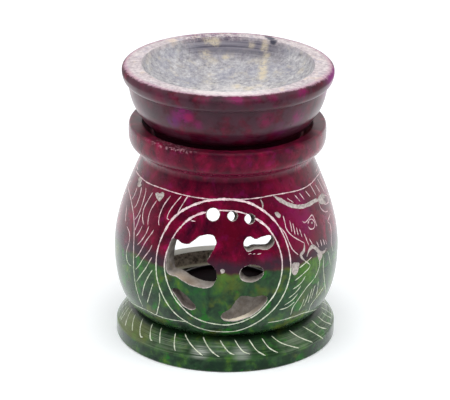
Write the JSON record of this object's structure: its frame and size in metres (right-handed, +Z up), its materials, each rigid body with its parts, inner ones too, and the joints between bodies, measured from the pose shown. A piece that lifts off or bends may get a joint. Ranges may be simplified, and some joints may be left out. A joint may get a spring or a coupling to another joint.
{
  "type": "essential oil burner",
  "caption": "Turned stone essential oil burner: a pierced pot with a rear opening, a lift-off oil dish seated in its neck ring, and a tealight standing in the well.",
  "frame": {"origin": "centre of the foot's flat underside, on the turning axis", "axes": "+Z up along the turning axis, +Y to the rear, where the large opening is; the pierced panel faces -Y"},
  "size_m": [0.0792, 0.0786, 0.1],
  "materials": {
    "pot_stone": "polished, dyed burgundy above and green below",
    "dish_stone": "polished and dyed outside, bare honed stone in the bowl",
    "cup_metal": "pressed foil",
    "wax": "dark plum scented wax",
    "wick_cotton": "waxed braid",
    "sustainer_tin": "tinned"
  },
  "bodies": {
    "pot": {"burner_body": "pot_stone"},
    "dish": {"oil_dish": "dish_stone"},
    "tealight": {"tealight_cup": "cup_metal", "tealight_wax": "wax", "wick": "wick_cotton", "wick_sustainer": "sustainer_tin"}
  },
  "joints": [
    {"name": "dish_lift", "type": "slide", "parent": "pot", "child": "dish", "axis": [0, 0, 1], "range_m": [0, 0.03]},
    {"name": "tealight_withdraw", "type": "slide", "parent": "pot", "child": "tealight", "axis": [0, 0.7738, 0.6334], "range_m": [0, 0.08]}
  ]
}
